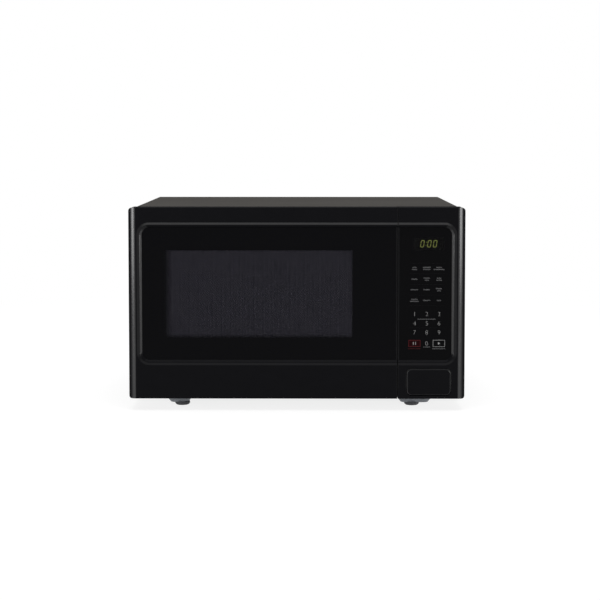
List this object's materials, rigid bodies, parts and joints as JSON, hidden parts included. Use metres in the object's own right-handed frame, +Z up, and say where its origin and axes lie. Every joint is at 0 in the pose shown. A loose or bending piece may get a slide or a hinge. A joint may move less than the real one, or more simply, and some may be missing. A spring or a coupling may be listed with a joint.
{
  "type": "microwave oven",
  "caption": "Countertop microwave oven with a side-hinged window door, keypad panel, push-button door latch, glass turntable on a roller ring, and its inner electrics.",
  "frame": {"origin": "on the table, under the middle of the overall box", "axes": "+X to the right seen from the front, +Y to the rear, +Z up"},
  "size_m": [0.488, 0.404, 0.295],
  "materials": {
    "fascia": "satin black moulding",
    "door_glass": "black printed glass with a darkened window",
    "overlay": "glossy black keypad film",
    "cover_paint": "satin black paint",
    "zinc": "galvanised sheet",
    "enamel": "light grey oven paint",
    "choke_paint": "black paint",
    "film": "clear film",
    "inner_black": "matt black",
    "natural_plastic": "natural white plastic",
    "spring_steel": "bright wire",
    "foot_plastic": "dark grey",
    "tray_glass": "clear glass",
    "switch_body": "black",
    "plunger_red": "red",
    "membrane": "printed film",
    "display": "dark window",
    "board": "tan laminate",
    "components": "black",
    "mica": "grey-brown mica sheet",
    "copper": "copper",
    "aluminium": "bare",
    "laminations": "varnished steel laminations",
    "bay_plastic": "grey plastic",
    "bulb": "clear bulb",
    "gland": "black"
  },
  "bodies": {
    "chassis": {"front_plate": "enamel", "lower_hinge": "zinc", "upper_hinge": "zinc", "cavity_wrap": "enamel", "cavity_floor": "enamel", "cavity_back": "enamel", "base_plate": "zinc", "feet": "foot_plastic", "outer_cover": "cover_paint", "rear_panel": "zinc", "chassis_screws": "zinc", "cord_gland": "gland", "turntable_motor": "zinc", "latch_board": "natural_plastic", "interlock_switches": "switch_body", "panel_housing": "fascia", "keypad_overlay": "overlay", "membrane_switch": "membrane", "display_module": "display", "control_board": "board", "board_components": "components", "button_spring": "spring_steel", "waveguide": "zinc", "waveguide_cover": "mica", "magnetron_yoke": "zinc", "magnetron_anode": "copper", "magnetron_fins": "aluminium", "filter_box": "zinc", "transformer_core": "laminations", "transformer_coils": "copper", "high_voltage_capacitor": "aluminium", "capacitor_clamp": "zinc", "fan_bulkhead": "bay_plastic", "fan_motor": "laminations", "air_guide": "bay_plastic", "lamp_housing": "zinc", "cavity_lamp": "bulb", "filter_board": "board", "thermal_cutouts": "aluminium"},
    "door": {"door_frame": "fascia", "door_glass": "door_glass", "choke_pan": "choke_paint", "door_screws": "zinc", "inner_window": "film", "inner_cover": "inner_black", "hinge_bushes": "natural_plastic", "latch_spring": "spring_steel"},
    "latch_key": {"latch_key": "natural_plastic"},
    "release_button": {"release_button": "fascia"},
    "release_lever": {"release_lever": "natural_plastic"},
    "switch_plungers": {"switch_plungers": "plunger_red"},
    "turntable": {"glass_tray": "tray_glass", "turntable_coupler": "natural_plastic", "turntable_shaft": "natural_plastic"},
    "roller_ring": {"roller_ring": "natural_plastic"},
    "roller_right": {"roller_right": "natural_plastic"},
    "roller_rear": {"roller_rear": "natural_plastic"},
    "roller_front": {"roller_front": "natural_plastic"},
    "fan": {"fan_impeller": "natural_plastic", "fan_shaft": "spring_steel"}
  },
  "joints": [
    {"name": "door_hinge", "type": "hinge", "parent": "chassis", "child": "door", "pos_m": [-0.236, -0.18, 0.153], "axis": [0, 0, -1], "range_deg": [0, 110]},
    {"name": "button_push", "type": "slide", "parent": "chassis", "child": "release_button", "axis": [0, 1, 0], "range_m": [0, 0.005], "stiffness_N_per_m": 400, "springref_m": -0.004, "deforming": ["button_spring"]},
    {"name": "lever_pivot", "type": "hinge", "parent": "chassis", "child": "release_lever", "pos_m": [0.1326, -0.1599, 0.061], "axis": [1, 0, 0], "range_deg": [0, 16]},
    {"name": "latch_lift", "type": "slide", "parent": "door", "child": "latch_key", "axis": [0, 0, 1], "range_m": [0, 0.00475], "deforming": ["latch_spring"]},
    {"name": "plunger_travel", "type": "slide", "parent": "chassis", "child": "switch_plungers", "axis": [0, -1, 0], "range_m": [0, 0.0012]},
    {"name": "turntable_spin", "type": "hinge", "parent": "chassis", "child": "turntable", "pos_m": [-0.054, 0.0063, 0.053], "axis": [0, 0, 1], "continuous": true},
    {"name": "ring_spin", "type": "hinge", "parent": "chassis", "child": "roller_ring", "pos_m": [-0.054, 0.0063, 0.053], "axis": [0, 0, 1], "continuous": true},
    {"name": "fan_spin", "type": "hinge", "parent": "chassis", "child": "fan", "pos_m": [0.1822, 0.163, 0.173], "axis": [0, 1, 0], "continuous": true},
    {"name": "roller_right_spin", "type": "hinge", "parent": "roller_ring", "child": "roller_right", "pos_m": [0.0425, 0.0063, 0.0537], "axis": [1, 0, 0], "continuous": true},
    {"name": "roller_rear_spin", "type": "hinge", "parent": "roller_ring", "child": "roller_rear", "pos_m": [-0.10225, 0.08987, 0.0537], "axis": [-0.5, 0.866, 0], "continuous": true},
    {"name": "roller_front_spin", "type": "hinge", "parent": "roller_ring", "child": "roller_front", "pos_m": [-0.10225, -0.07727, 0.0537], "axis": [-0.5, -0.866, 0], "continuous": true}
  ],
  "couplings": [
    {"joint": "lever_pivot", "follows": "button_push", "rad_per_m": 55.556},
    {"joint": "latch_lift", "follows": "button_push", "ratio": 0.94444},
    {"joint": "plunger_travel", "follows": "door_hinge", "m_per_rad": 0.000625},
    {"joint": "ring_spin", "follows": "turntable_spin", "ratio": 0.5},
    {"joint": "roller_right_spin", "follows": "turntable_spin", "ratio": -6.4333},
    {"joint": "roller_rear_spin", "follows": "turntable_spin", "ratio": -6.4333},
    {"joint": "roller_front_spin", "follows": "turntable_spin", "ratio": -6.4333}
  ]
}
